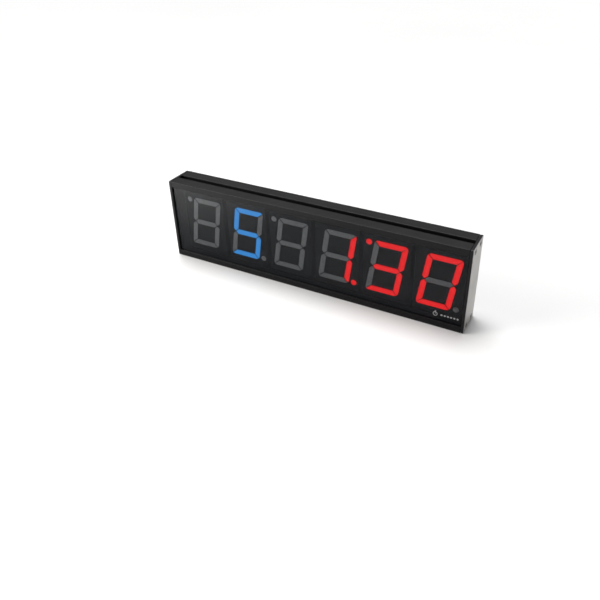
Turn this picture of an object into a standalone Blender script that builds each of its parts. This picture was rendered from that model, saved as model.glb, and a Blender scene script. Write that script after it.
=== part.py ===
"""Gym round timer: a slim wall clock with six seven-segment digits behind a smoked panel.

Two black extruded rails run between two end plates. A smoked front panel and a back cover slide
into the rails' grooves, and a display board with six digit modules stands on the back cover.
Metres, +Z up. X runs along the case, the display faces -Y, and the origin is under its middle.
"""

import math

import bmesh
import bpy
from mathutils import Matrix, Vector

# Case
WIDTH = 0.330
DEPTH = 0.032
HEIGHT = 0.090
GAP = 0.0003
OVERCUT = 0.001
PLATE = 0.003
PLATE_CORNER = 0.0009
INNER_X = WIDTH / 2 - PLATE
RAIL_END = INNER_X - GAP

# Rail section: distances from the middle of the depth, and depths below the rail's outer face
RAIL_WALL = 0.0018
GROOVE_WALL = 0.0020
LIP_IN = 0.0145
LIP_DEEP = 0.0065
BLOCK_OUT = 0.0109
SLOT_MOUTH = 0.00325
SLOT_HALF = 0.00525
SLOT_FLOOR = 0.0068
RAIL_DEEP = 0.0083
PORT_OUT = (SLOT_HALF + BLOCK_OUT) / 2
PORT_DEEP = 0.0050
PORT_R = 0.0015

# Panels in the rails' grooves
PANEL_LOW = GROOVE_WALL + GAP
PANEL_OUT = LIP_IN - GAP
PANEL_THICK = 0.0030
PANEL_IN = PANEL_OUT - PANEL_THICK
PANEL_CLEAR = 0.0020

# Screws
SHANK_R = 0.0012
CLEAR_R = 0.0015
HEAD_R = 0.0028
HEAD_DEEP = 0.0016
PLATE_SCREW = 0.0090
COVER_SCREW = 0.0075
PAN_HEAD = 0.0012
PAN_CROWN = 0.7
SOCKET_R = 0.0010
SOCKET_DEEP = 0.0009

# Digit modules
DIGITS = 6
PITCH = 0.0523
ROW_X = 0.0045
MODULE_W = 0.048
MODULE_H = 0.070
MODULE_D = 0.012
MODULE_Y = -PANEL_IN + PANEL_CLEAR
MODULE_WALL = 0.0012
CHAR_W = 0.0348
CHAR_H = 0.0578
STROKE = 0.0063
SLANT = math.tan(math.radians(8.5))
SEGMENT_SPLIT = 0.0005
CHAR_CORNER = 0.0045
DOT_X = 0.0185
DOT_Z = -0.0254
DOT_R = 0.0031
BAR_PLATE = 0.0010

# Display board and its standoffs
BOARD_Y = MODULE_Y + MODULE_D + GAP
BOARD_THICK = 0.0016
BOARD_BACK = BOARD_Y + BOARD_THICK
BOARD_X = (-0.1518, 0.1605)
BOARD_Z = (0.0090, 0.0810)
STANDOFFS = [(x, z) for x in (-0.138, 0.138) for z in (0.016, 0.074)]
STANDOFF_R = 0.0031
NECK_R = 0.0021

# Components on the back of the display board: middle X and Z, then width, height and thickness
LED_DRIVERS = ((-0.062, 0.046), (0.0, 0.046), (0.046, 0.024))
DRIVER_SIZE = (0.0180, 0.0075, 0.0024)
WIRELESS = (0.066, 0.058)
WIRELESS_SIZE = (0.0180, 0.0255, 0.0010)
SHIELD_SIZE = (0.0150, 0.0160, 0.0028)
SHIELD_DROP = 0.0025
COIL = (-0.121, 0.026)
CHIP_EDGE = 0.0003
COIL_SIZE = (0.0072, 0.0072, 0.0042)
COIL_EDGE = 0.0008
CAPACITOR = (-0.121, 0.058)
CAPACITOR_R = 0.0032
CAPACITOR_TALL = 0.0054
BEEPER = (-0.020, 0.026)
BEEPER_R = 0.0060
BEEPER_TALL = 0.0055
SOUND_HOLE_R = 0.0010
HEADER = (-0.143, 0.040)
HEADER_SIZE = (0.0075, 0.0072, 0.0052)
HEADER_MOUTH = (0.0026, 0.0030)
HEADER_MOUTH_DEEP = 0.0055

# Back cover
KEYHOLE_X = 0.100
KEYHOLE_Z = 0.056
KEYHOLE_R = 0.0045
KEYHOLE_SLOT = 0.0022
KEYHOLE_RISE = 0.0090
BEEP_HOLE_R = 0.0009
BEEP_RING = 0.0035

# Inlet board behind the left end plate
INLET_Y = -0.0032
INLET_BOARD_X = -0.1522
INLET_BOARD_THICK = 0.0016
INLET_BOARD_Z = (0.0100, 0.0800)
INLET_OUT = -INNER_X + GAP
FLUSH_X = -WIDTH / 2 + 0.0001
INLET_IN = INLET_BOARD_X - GAP
JACK_Z = 0.022
JACK_HALF = (0.0048, 0.0050)
JACK_R = 0.0039
JACK_BORE = 0.0029
JACK_FLOOR = -0.1560
JACK_PIN = 0.0010
JACK_PIN_SET_BACK = 0.0015
SWITCH_Z = 0.048
SWITCH_HALF = (0.0044, 0.0075)
NOSE_HALF = (0.0034, 0.0062)
WELL_HALF = (0.0025, 0.0053)
WELL_DEEP = 0.0040
ROCKER_X = -0.1612
ROCKER_W = 0.0044
ROCKER_HALF = 0.0046
ROCKER_END = (-0.0026, 0.0006)
ROCKER_WAIST = (-0.0018, 0.0026)
ROCKER_TILT = math.radians(8.0)
AXLE_R = 0.0009
AXLE_HALF = 0.0029
AXLE_PLAY = 0.0001
BUTTON_Z = 0.066
BUTTON_X = -0.1616
BUTTON_R = 0.0017
BUTTON_TALL = 0.0033
BUTTON_EDGE = 0.0002
BUTTON_FLANGE_R = 0.0024
BUTTON_FLANGE = 0.0008
BUTTON_STEM_R = 0.0010
BUTTON_STEM = 0.0060
PAIR_SWITCH_X = -0.1563
PAIR_SWITCH_HALF = 0.0030
PAIR_SWITCH_WELL = 0.0023
LEAD_HEADER_Z = 0.036
LEAD_HEADER_LOW = (-0.0053, -0.0020, -0.0035)
LEAD_HEADER_HIGH = (0, 0.0040, 0.0005)
LEAD_X = -0.1550
LEAD_DROP = 0.0015
LEAD_R = 0.0007
LEAD_SIDE = 0.0011

BLACK = ("black anodised", (0.016, 0.016, 0.018), 0.45, 0.6)
SATIN = ("satin metal", (0.42, 0.41, 0.39), 0.38, 0.9)
SMOKED = ("smoked acrylic", (0.012, 0.015, 0.018), 0.12, 0.0)
COVER = ("black sheet", (0.020, 0.020, 0.022), 0.55, 0.0)
STEEL = ("blackened steel", (0.05, 0.05, 0.055), 0.35, 1.0)
HOUSING = ("digit housing", (0.02, 0.02, 0.022), 0.6, 0.0)
BARS = ("light bars", (0.16, 0.16, 0.17), 0.5, 0.0)
BOARD = ("circuit board", (0.01, 0.06, 0.03), 0.45, 0.0)
CHIP = ("chip resin", (0.02, 0.02, 0.022), 0.55, 0.0)
CAN = ("tinned can", (0.55, 0.56, 0.58), 0.3, 1.0)
BRASS = ("plated brass", (0.6, 0.5, 0.25), 0.3, 1.0)
NYLON = ("header nylon", (0.03, 0.03, 0.032), 0.5, 0.0)
PLASTIC = ("black plastic", (0.025, 0.025, 0.027), 0.5, 0.0)
RED_LEAD = ("red lead", (0.45, 0.02, 0.02), 0.5, 0.0)
BLACK_LEAD = ("black lead", (0.02, 0.02, 0.02), 0.5, 0.0)

for old in list(bpy.data.objects):
    bpy.data.objects.remove(old)

parts = bpy.data.collections.new("gym_round_timer")
cutters = bpy.data.collections.new("cutters")
bpy.context.scene.collection.children.link(parts)
bpy.context.scene.collection.children.link(cutters)

TO_X = Matrix.Rotation(math.pi / 2, 4, "Y")
TO_LEFT = Matrix.Rotation(-math.pi / 2, 4, "Y")
TO_FRONT = Matrix.Rotation(math.pi / 2, 4, "X")
TO_BACK = Matrix.Rotation(-math.pi / 2, 4, "X")
SECTION = Matrix(((0, 0, 1, 0), (1, 0, 0, 0), (0, 1, 0, 0), (0, 0, 0, 1)))


def finish(look):
    """A part's own Principled material."""
    name, colour, roughness, metallic = look
    mat = bpy.data.materials.new(name)
    mat.use_nodes = True
    shader = mat.node_tree.nodes["Principled BSDF"]
    shader.inputs["Base Color"].default_value = (*colour, 1)
    shader.inputs["Roughness"].default_value = roughness
    shader.inputs["Metallic"].default_value = metallic
    return mat


def place(name, mesh, look, matrix=None):
    """Puts a mesh in the timer's collection, or with no look among the cutters."""
    piece = bpy.data.objects.new(name, mesh)
    piece.matrix_world = matrix or Matrix()
    if look:
        parts.objects.link(piece)
        piece.material_slots or mesh.materials.append(None)
        piece.material_slots[0].link = "OBJECT"
        piece.material_slots[0].material = finish(look)
    else:
        cutters.objects.link(piece)
        piece.hide_render = True
        piece.display_type = "WIRE"
    return piece


def block(name, low, high, look=None, bevel=0.0):
    """A box between two corners, with its origin at its middle."""
    size = Vector(high) - Vector(low)
    bm = bmesh.new()
    bmesh.ops.create_cube(bm, size=1.0)
    bmesh.ops.scale(bm, vec=size, verts=bm.verts)
    mesh = bpy.data.meshes.new(name)
    bm.to_mesh(mesh)
    bm.free()
    middle = (Vector(low) + Vector(high)) / 2
    piece = place(name, mesh, look, Matrix.Translation(middle))
    if bevel:
        edge = piece.modifiers.new("edges", "BEVEL")
        edge.width = bevel
        edge.segments = 1
    return piece


def rod(name, start, end, radius, look=None, sides=16):
    """A cylinder from start to end."""
    start, end = Vector(start), Vector(end)
    bm = bmesh.new()
    bmesh.ops.create_cone(
        bm,
        cap_ends=True,
        segments=sides,
        radius1=radius,
        radius2=radius,
        depth=(end - start).length,
    )
    mesh = bpy.data.meshes.new(name)
    bm.to_mesh(mesh)
    bm.free()
    mesh.shade_smooth()
    mesh.set_sharp_from_angle(angle=math.radians(40))
    turn = (end - start).to_track_quat("Z", "Y").to_matrix().to_4x4()
    return place(name, mesh, look, Matrix.Translation((start + end) / 2) @ turn)


def turned(name, profile, matrix, look=None, sides=16):
    """A solid of revolution about its own Z from (radius, height) points that run downwards."""
    bm = bmesh.new()
    points = [bm.verts.new((radius, 0, height)) for radius, height in profile]
    for upper, lower in zip(points, points[1:]):
        bm.edges.new((upper, lower))
    mesh = bpy.data.meshes.new(name)
    bm.to_mesh(mesh)
    bm.free()
    piece = place(name, mesh, look, matrix)
    screw = piece.modifiers.new("turn", "SCREW")
    screw.steps = screw.render_steps = sides
    screw.use_merge_vertices = True
    screw.merge_threshold = 0.00001
    screw.use_smooth_shade = False
    return piece


def prism(outlines, thick):
    """A mesh of flat outlines in XY, extruded to both sides of Z = 0."""
    curve = bpy.data.curves.new("outline", "CURVE")
    curve.dimensions = "2D"
    curve.fill_mode = "BOTH"
    curve.extrude = thick / 2
    for outline in outlines:
        line = curve.splines.new("POLY")
        line.points.add(len(outline) - 1)
        for point, (x, y) in zip(line.points, outline):
            point.co = (x, y, 0, 1)
        line.use_cyclic_u = True
    drawn = bpy.data.objects.new("outline", curve)
    cutters.objects.link(drawn)
    mesh = baked(drawn)
    bm = bmesh.new()
    bm.from_mesh(mesh)
    bmesh.ops.remove_doubles(bm, verts=bm.verts, dist=0.000001)
    bmesh.ops.recalc_face_normals(bm, faces=bm.faces)
    bm.to_mesh(mesh)
    bm.free()
    bpy.data.curves.remove(curve)
    return mesh


def baked(source):
    """An object's mesh with its modifiers applied."""
    graph = bpy.context.evaluated_depsgraph_get()
    graph.update()
    return bpy.data.meshes.new_from_object(source.evaluated_get(graph))


def cut(piece, *tools, how="DIFFERENCE"):
    """Cuts each tool out of a piece, or with how="UNION" joins it on."""
    for tool in tools:
        step = piece.modifiers.new(how.lower(), "BOOLEAN")
        step.operation = how
        step.solver = "EXACT"
        step.object = tool
    return piece


def rounded_rectangle(half_w, half_h, radius, steps=3):
    """Outline points of a rectangle with round corners, about the origin."""
    points = []
    for quarter in range(4):
        sx = 1 if quarter in (0, 3) else -1
        sy = 1 if quarter < 2 else -1
        for step in range(steps + 1):
            angle = math.pi / 2 * (quarter + step / steps)
            x = sx * (half_w - radius) + radius * math.cos(angle)
            y = sy * (half_h - radius) + radius * math.sin(angle)
            points.append((x, y))
    return points


def circle(radius, middle=(0, 0), sides=12):
    """Points round a circle."""
    turns = [math.tau * (i + 0.5) / sides for i in range(sides)]
    x, y = middle
    return [(x + radius * math.cos(a), y + radius * math.sin(a)) for a in turns]


def port_places():
    """Y and Z of the four screw ports."""
    for side in (-1, 1):
        for z in (PORT_DEEP, HEIGHT - PORT_DEEP):
            yield side * PORT_OUT, z


def make_rail(name, outer, inward):
    """One extruded rail. inward is -1 where the section hangs below its outer face."""
    half = [
        (SLOT_HALF, SLOT_FLOOR),
        (SLOT_HALF, RAIL_WALL),
        (SLOT_MOUTH, RAIL_WALL),
        (SLOT_MOUTH, 0),
        (DEPTH / 2, 0),
        (DEPTH / 2, LIP_DEEP),
        (LIP_IN, LIP_DEEP),
        (LIP_IN, GROOVE_WALL),
        (BLOCK_OUT, GROOVE_WALL),
        (BLOCK_OUT, RAIL_DEEP),
    ]
    whole = half + [(-across, down) for across, down in reversed(half)]
    outline = [(across, outer + inward * down) for across, down in whole]
    rail = place(name, prism([outline], 2 * RAIL_END), BLACK, SECTION)
    port_z = outer + inward * PORT_DEEP
    for side in (-1, 1):
        y = side * PORT_OUT
        cut(rail, rod("port", (-WIDTH, y, port_z), (WIDTH, y, port_z), PORT_R, sides=12))
    return rail


def make_end_plate(name, side):
    """An end plate with its four countersunk holes. side is -1 on the left."""
    outline = rounded_rectangle(DEPTH / 2, HEIGHT / 2, PLATE_CORNER)
    at = Matrix.Translation((side * (INNER_X + PLATE / 2), 0, HEIGHT / 2)) @ SECTION
    plate = place(name, prism([outline], PLATE), SATIN, at)
    profile = [
        (0, OVERCUT),
        (HEAD_R + GAP, OVERCUT),
        (HEAD_R + GAP, 0),
        (CLEAR_R, -HEAD_DEEP),
        (CLEAR_R, -2 * PLATE),
        (0, -2 * PLATE),
    ]
    for y, z in port_places():
        cut(plate, turned("countersink", profile, outward(side, y, z)))
    return plate


def outward(side, y, z):
    """A frame on an end plate's outer face whose Z leaves the case."""
    turn = TO_X if side > 0 else TO_LEFT
    return Matrix.Translation((side * WIDTH / 2, y, z)) @ turn


def make_plate_screws():
    profile = [
        (0, -GAP / 2),
        (HEAD_R, -GAP / 2),
        (SHANK_R, -HEAD_DEEP),
        (SHANK_R, -PLATE_SCREW),
        (0, -PLATE_SCREW),
    ]
    for side, word in ((-1, "left"), (1, "right")):
        for number, (y, z) in enumerate(port_places(), 1):
            at = outward(side, y, z)
            screw = turned(f"{word}_plate_screw_{number}", profile, at, STEEL, sides=12)
            deep = at @ Vector((0, 0, -SOCKET_DEEP))
            out = at @ Vector((0, 0, SOCKET_DEEP))
            cut(screw, rod("socket", deep, out, SOCKET_R, sides=6))


def make_back_cover():
    cover = block(
        "back_cover",
        (-RAIL_END, PANEL_IN, PANEL_LOW),
        (RAIL_END, PANEL_OUT, HEIGHT - PANEL_LOW),
        COVER,
    )
    inside, outside = PANEL_IN - OVERCUT, PANEL_OUT + OVERCUT
    for x in (-KEYHOLE_X, KEYHOLE_X):
        top = KEYHOLE_Z + KEYHOLE_RISE
        head = rod("keyhole", (x, inside, KEYHOLE_Z), (x, outside, KEYHOLE_Z), KEYHOLE_R)
        low = (x - KEYHOLE_SLOT, inside, KEYHOLE_Z)
        high = (x + KEYHOLE_SLOT, outside, top)
        end = rod("slot_end", (x, inside, top), (x, outside, top), KEYHOLE_SLOT)
        cut(cover, head, block("slot", low, high), end)
    for x, z in STANDOFFS:
        cut(cover, rod("screw_hole", (x, inside, z), (x, outside, z), CLEAR_R, sides=12))
    x, z = BEEPER
    ring = [(x + BEEP_RING * math.cos(a), z + BEEP_RING * math.sin(a)) for a in sixths()]
    for hole_x, hole_z in [BEEPER, *ring]:
        tool = rod("beep", (hole_x, inside, hole_z), (hole_x, outside, hole_z), BEEP_HOLE_R, sides=8)
        cut(cover, tool)
    return cover


def sixths():
    return [math.tau * i / 6 for i in range(6)]


def corner_arc(x, y, first, last, steps=2):
    """Points of the rounded outer corner at (x, y), between two angles in degrees."""
    turn_x = math.copysign(abs(x) - CHAR_CORNER, x)
    turn_y = math.copysign(abs(y) - CHAR_CORNER, y)
    angles = [math.radians(first + (last - first) * i / steps) for i in range(steps + 1)]
    return [(turn_x + CHAR_CORNER * math.cos(a), turn_y + CHAR_CORNER * math.sin(a)) for a in angles]


def segment_outlines():
    """The seven slanted bars of a figure eight, each with its splits cut back, and the dot.

    The end bars meet the side bars on a mitre under a rounded corner, and the side bars end in
    points beside the middle bar's.
    """
    w, h = CHAR_W / 2, CHAR_H / 2
    in_w, in_h, half = w - STROKE, h - STROKE, STROKE / 2
    top = [(-in_w, in_h), (in_w, in_h), *corner_arc(w, h, 45, 90), *corner_arc(-w, h, 90, 135)]
    side = [(in_w, in_h), (in_w, half), (w - half, 0), (w, half), *corner_arc(w, h, 0, 45)]
    middle = [(-in_w, -half), (in_w, -half), (w - half, 0), (in_w, half), (-in_w, half), (half - w, 0)]
    bars = [middle]
    for shape in (top, side, [(-x, z) for x, z in reversed(side)]):
        bars += [shape, [(-x, -z) for x, z in shape]]
    bars = [slanted(shrunk(bar, SEGMENT_SPLIT / 2)) for bar in bars]
    return bars, circle(DOT_R, (DOT_X, DOT_Z), 10)


def slanted(points):
    return [(x + z * SLANT, z) for x, z in points]


def digit_meshes():
    """The housing and the one-piece light bars of a digit, each with its middle at the origin.

    Local X is across the digit, local Y is up and local Z leaves towards the viewer.
    """
    bars, dot = segment_outlines()
    front = MODULE_D / 2
    corner = (MODULE_W / 2, MODULE_H / 2)
    shell = block("shell", (-corner[0], -corner[1], -front), (*corner, front))
    inner = Vector((corner[0] - MODULE_WALL, corner[1] - MODULE_WALL, front - MODULE_WALL))
    hollow = block("hollow", (-inner.x, -inner.y, -2 * front), inner)
    windows = place("windows", prism([*bars, dot], 4 * MODULE_WALL), None)
    windows.location.z = front
    housing = baked(cut(shell, hollow, windows))

    back = front - MODULE_WALL - GAP
    edge = Vector((inner.x - GAP, inner.y - GAP))
    plate = block("plate", (-edge.x, -edge.y, back - BAR_PLATE), (edge.x, edge.y, back))
    fit = [shrunk(points, GAP) for points in [*bars, dot]]
    raised = place("raised", prism(fit, MODULE_WALL + 2 * GAP), None)
    raised.location.z = front - (MODULE_WALL + 2 * GAP) / 2
    light_bars = baked(cut(plate, raised, how="UNION"))
    for tool in (shell, plate):
        bpy.data.objects.remove(tool)
    return housing, light_bars


def shrunk(points, by):
    """A convex outline moved inwards by the same distance on every side."""
    points = [Vector(p) for p in points]
    count = len(points)
    result = []
    for i, here in enumerate(points):
        before = (here - points[i - 1]).normalized()
        after = (points[(i + 1) % count] - here).normalized()
        inward = (after - before).normalized()
        half_angle = math.acos(max(-1, min(1, -before.dot(after)))) / 2
        result.append(tuple(here + inward * by / math.sin(half_angle)))
    return result


def make_digits():
    """Six modules in a row. Every other one is fitted upside down."""
    housing, light_bars = digit_meshes()
    for number in range(DIGITS):
        x = ROW_X + (number - (DIGITS - 1) / 2) * PITCH
        middle = Vector((x, MODULE_Y + MODULE_D / 2, HEIGHT / 2))
        half_turn = math.pi if number % 2 == 0 else 0
        turn = TO_FRONT @ Matrix.Rotation(half_turn, 4, "Z")
        at = Matrix.Translation(middle) @ turn
        place(f"digit_{number + 1}_housing", housing, HOUSING, at)
        place(f"digit_{number + 1}_light_bars", light_bars, BARS, at)


def make_display_board():
    board = block(
        "display_board",
        (BOARD_X[0], BOARD_Y, BOARD_Z[0]),
        (BOARD_X[1], BOARD_BACK, BOARD_Z[1]),
        BOARD,
    )
    for number, (x, z) in enumerate(STANDOFFS, 1):
        hole = rod("neck_hole", (x, 0, z), (x, PANEL_IN, z), NECK_R + GAP, sides=12)
        cut(board, hole)
        low, high = BOARD_BACK + GAP, PANEL_IN - GAP
        standoff = rod(f"standoff_{number}", (x, low, z), (x, high, z), STANDOFF_R, STEEL, 6)
        neck = rod("neck", (x, BOARD_Y + GAP, z), (x, low + OVERCUT, z), NECK_R, sides=12)
        bore = rod("bore", (x, 0, z), (x, PANEL_OUT, z), CLEAR_R, sides=12)
        cut(standoff, neck, how="UNION")
        cut(standoff, bore)


def make_cover_screws():
    crown = (HEAD_R * PAN_CROWN, PAN_HEAD)
    head = [(0, PAN_HEAD), crown, (HEAD_R, PAN_HEAD / 2), (HEAD_R, 0)]
    shank = [(SHANK_R, 0), (SHANK_R, -COVER_SCREW), (0, -COVER_SCREW)]
    for number, (x, z) in enumerate(STANDOFFS, 1):
        at = Matrix.Translation((x, PANEL_OUT + GAP, z)) @ TO_BACK
        screw = turned(f"cover_screw_{number}", head + shank, at, STEEL, sides=12)
        deep = at @ Vector((0, 0, PAN_HEAD - SOCKET_DEEP))
        out = at @ Vector((0, 0, PAN_HEAD + SOCKET_DEEP))
        cut(screw, rod("socket", deep, out, SOCKET_R, sides=6))


def on_board(name, middle, size, look, bevel=CHIP_EDGE):
    """A boxy component on the back of the display board."""
    (x, z), (width, height, tall) = middle, size
    low = (x - width / 2, BOARD_BACK + GAP, z - height / 2)
    high = (x + width / 2, BOARD_BACK + GAP + tall, z + height / 2)
    return block(name, low, high, look, bevel)


def make_electronics():
    for number, middle in enumerate(LED_DRIVERS, 1):
        on_board(f"led_driver_{number}", middle, DRIVER_SIZE, CHIP)
    on_board("regulator_coil", COIL, COIL_SIZE, CHIP, COIL_EDGE)
    make_wireless_module()
    make_power_header()
    make_beeper()
    make_capacitor()


def make_wireless_module():
    """A small board with a shield can at its lower end and a bare aerial end."""
    module = on_board("wireless_module", WIRELESS, WIRELESS_SIZE, CHIP, 0)
    x, z = WIRELESS
    can = on_board("shield_can", (x, z - SHIELD_DROP), SHIELD_SIZE, None, 0)
    can.location.y += WIRELESS_SIZE[2] / 2
    cut(module, can, how="UNION")


def make_power_header():
    """A two-way header whose mouth faces the case's left end."""
    header = on_board("power_header", HEADER, HEADER_SIZE, NYLON)
    x, z = HEADER
    width, _, tall = HEADER_SIZE
    half_z, half_y = HEADER_MOUTH[0], HEADER_MOUTH[1] / 2
    mouth_x = x - width / 2
    mouth_y = BOARD_BACK + GAP + tall / 2
    low = (mouth_x - width, mouth_y - half_y, z - half_z)
    high = (mouth_x + HEADER_MOUTH_DEEP, mouth_y + half_y, z + half_z)
    cut(header, block("header_mouth", low, high))


def make_beeper():
    x, z = BEEPER
    y = BOARD_BACK + GAP
    rim = BEEPER_R - CHIP_EDGE
    profile = [(0, BEEPER_TALL), (rim, BEEPER_TALL), (BEEPER_R, BEEPER_TALL - CHIP_EDGE)]
    profile += [(BEEPER_R, 0), (0, 0)]
    beeper = turned("beeper", profile, Matrix.Translation((x, y, z)) @ TO_BACK, CHIP)
    middle, out = y + BEEPER_TALL / 2, y + 2 * BEEPER_TALL
    cut(beeper, rod("sound_hole", (x, middle, z), (x, out, z), SOUND_HOLE_R, sides=8))


def make_capacitor():
    """A small upright can with a rolled groove above its foot."""
    x, z = CAPACITOR
    foot, groove = CAPACITOR_TALL * 0.12, CAPACITOR_TALL * 0.17
    neck, top_edge = CAPACITOR_R * 0.88, CAPACITOR_R * 0.93
    profile = [
        (0, CAPACITOR_TALL),
        (top_edge, CAPACITOR_TALL),
        (CAPACITOR_R, CAPACITOR_TALL * 0.93),
        (CAPACITOR_R, groove + foot / 2),
        (neck, groove),
        (CAPACITOR_R, foot),
        (CAPACITOR_R, 0),
        (0, 0),
    ]
    at = Matrix.Translation((x, BOARD_BACK + GAP, z)) @ TO_BACK
    turned("filter_capacitor", profile, at, CAN)


def inlet_box(name, half, z, outer, inner, look=None):
    """A box about the inlets' line, between two X, with half sizes along Y and Z."""
    half_y, half_z = half
    low = (outer, INLET_Y - half_y, z - half_z)
    high = (inner, INLET_Y + half_y, z + half_z)
    return block(name, low, high, look)


def inlet_rod(name, z, outer, inner, radius, look=None, sides=16):
    """A cylinder along X on the inlets' line."""
    return rod(name, (outer, INLET_Y, z), (inner, INLET_Y, z), radius, look, sides)


def make_inlet_board():
    low = (INLET_BOARD_X, MODULE_Y, INLET_BOARD_Z[0])
    high = (INLET_BOARD_X + INLET_BOARD_THICK, BOARD_Y - GAP, INLET_BOARD_Z[1])
    block("inlet_board", low, high, BOARD)


def make_jack():
    """The power jack: a body with a round nose in the end plate, and its centre pin."""
    jack = inlet_box("dc_jack_body", JACK_HALF, JACK_Z, INLET_OUT, INLET_IN, PLASTIC)
    nose = inlet_rod("nose", JACK_Z, FLUSH_X, INLET_OUT + OVERCUT, JACK_R)
    bore = inlet_rod("bore", JACK_Z, -WIDTH, JACK_FLOOR, JACK_BORE)
    seat = inlet_rod("seat", JACK_Z, -WIDTH, WIDTH, JACK_PIN + GAP, sides=12)
    cut(jack, nose, how="UNION")
    cut(jack, bore, seat)
    tip = FLUSH_X + JACK_PIN_SET_BACK
    inlet_rod("dc_jack_pin", JACK_Z, tip, INLET_IN, JACK_PIN, BRASS, 12)


def make_switch():
    """The power switch: a body with a well and two bearing holes, and the rocker in it."""
    body = inlet_box("power_switch_body", SWITCH_HALF, SWITCH_Z, INLET_OUT, INLET_IN, PLASTIC)
    nose = inlet_box("nose", NOSE_HALF, SWITCH_Z, FLUSH_X, INLET_OUT + OVERCUT)
    well = inlet_box("well", WELL_HALF, SWITCH_Z, -WIDTH, ROCKER_X + WELL_DEEP)
    cut(body, nose, how="UNION")
    cut(body, well, axle("bearing", AXLE_HALF + 2 * AXLE_PLAY, AXLE_R + AXLE_PLAY))

    outline = [
        (ROCKER_END[0], -ROCKER_HALF),
        (ROCKER_WAIST[0], 0),
        (ROCKER_END[0], ROCKER_HALF),
        (ROCKER_END[1], ROCKER_HALF),
        (ROCKER_WAIST[1], 0),
        (ROCKER_END[1], -ROCKER_HALF),
    ]
    pivot = Matrix.Translation((ROCKER_X, INLET_Y, SWITCH_Z))
    at = pivot @ Matrix.Rotation(ROCKER_TILT, 4, "Y") @ TO_FRONT
    rocker = place("power_rocker", prism([outline], ROCKER_W), PLASTIC, at)
    cut(rocker, axle("axle", AXLE_HALF, AXLE_R), how="UNION")


def axle(name, half, radius):
    """A cylinder along the rocker's axis."""
    ends = [(ROCKER_X, INLET_Y + side * half, SWITCH_Z) for side in (-1, 1)]
    return rod(name, *ends, radius)


def make_pairing_button():
    half = (PAIR_SWITCH_HALF, PAIR_SWITCH_HALF)
    body = inlet_box("pair_switch_body", half, BUTTON_Z, PAIR_SWITCH_X, INLET_IN, PLASTIC)
    floor = PAIR_SWITCH_X + PAIR_SWITCH_WELL
    cut(body, inlet_rod("well", BUTTON_Z, -WIDTH, floor, BUTTON_STEM_R + GAP, sides=12))
    profile = [
        (0, BUTTON_TALL),
        (BUTTON_R - BUTTON_EDGE, BUTTON_TALL),
        (BUTTON_R, BUTTON_TALL - BUTTON_EDGE),
        (BUTTON_R, 0),
        (BUTTON_FLANGE_R, 0),
        (BUTTON_FLANGE_R, -BUTTON_FLANGE),
        (BUTTON_STEM_R, -BUTTON_FLANGE),
        (BUTTON_STEM_R, -BUTTON_STEM),
        (0, -BUTTON_STEM),
    ]
    at = Matrix.Translation((BUTTON_X, INLET_Y, BUTTON_Z)) @ TO_LEFT
    turned("pair_button", profile, at, PLASTIC)


def cut_inlets(plate):
    """The jack, switch and button openings of the left end plate."""
    inner = -INNER_X + OVERCUT
    cut(plate, inlet_rod("jack_hole", JACK_Z, -WIDTH, inner, JACK_R + GAP))
    half = (NOSE_HALF[0] + GAP, NOSE_HALF[1] + GAP)
    cut(plate, inlet_box("switch_window", half, SWITCH_Z, -WIDTH, inner))
    cut(plate, inlet_rod("button_hole", BUTTON_Z, -WIDTH, inner, BUTTON_R + GAP))


def make_leads():
    """The header on the inlet board and the two leads to the display board's header."""
    base = Vector((INLET_IN, INLET_Y, LEAD_HEADER_Z))
    low = base + Vector(LEAD_HEADER_LOW)
    high = base + Vector(LEAD_HEADER_HIGH)
    block("lead_header", low, high, NYLON, CHIP_EDGE)
    start = Vector((LEAD_X, high.y + GAP, LEAD_HEADER_Z - LEAD_DROP))
    end_x = HEADER[0] - HEADER_SIZE[0] / 2 - GAP
    end = Vector((end_x, BOARD_BACK + GAP + HEADER_SIZE[2] / 2, HEADER[1]))
    corner = Vector((start.x, end.y, (start.z + end.z) / 2))
    for name, look, shift in (
        ("power_lead_red", RED_LEAD, LEAD_SIDE),
        ("power_lead_black", BLACK_LEAD, -LEAD_SIDE),
    ):
        aside = Vector((0, 0, shift))
        make_lead(name, start + aside, corner + aside, end + aside, look)


def make_lead(name, start, corner, end, look, steps=8):
    """A round lead along a quadratic bend that a corner point pulls out."""
    curve = bpy.data.curves.new(name, "CURVE")
    curve.dimensions = "3D"
    curve.bevel_depth = LEAD_R
    curve.bevel_resolution = 2
    curve.use_fill_caps = True
    line = curve.splines.new("POLY")
    line.points.add(steps)
    for i, point in enumerate(line.points):
        t = i / steps
        spot = start * (1 - t) ** 2 + corner * 2 * t * (1 - t) + end * t**2
        point.co = (*spot, 1)
    lead = bpy.data.objects.new(name, curve)
    parts.objects.link(lead)
    curve.materials.append(finish(look))


make_rail("top_rail", HEIGHT, -1)
make_rail("bottom_rail", 0, 1)
left_plate = make_end_plate("left_end_plate", -1)
make_end_plate("right_end_plate", 1)
make_plate_screws()
block(
    "front_panel",
    (-RAIL_END, -PANEL_OUT, PANEL_LOW),
    (RAIL_END, -PANEL_IN, HEIGHT - PANEL_LOW),
    SMOKED,
)
make_back_cover()
make_digits()
make_display_board()
make_cover_screws()
make_electronics()
make_inlet_board()
make_jack()
make_switch()
make_pairing_button()
cut_inlets(left_plate)
make_leads()
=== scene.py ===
"""Looks for the gym round timer: fine meshes, procedural finishes, floor, light and camera.

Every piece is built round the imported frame, in metres, in the row frame: X along the case,
the display facing -Y, +Z up, with the origin under the middle of the case.
"""
import math

import bmesh
import bpy
from mathutils import Matrix, Vector


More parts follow.
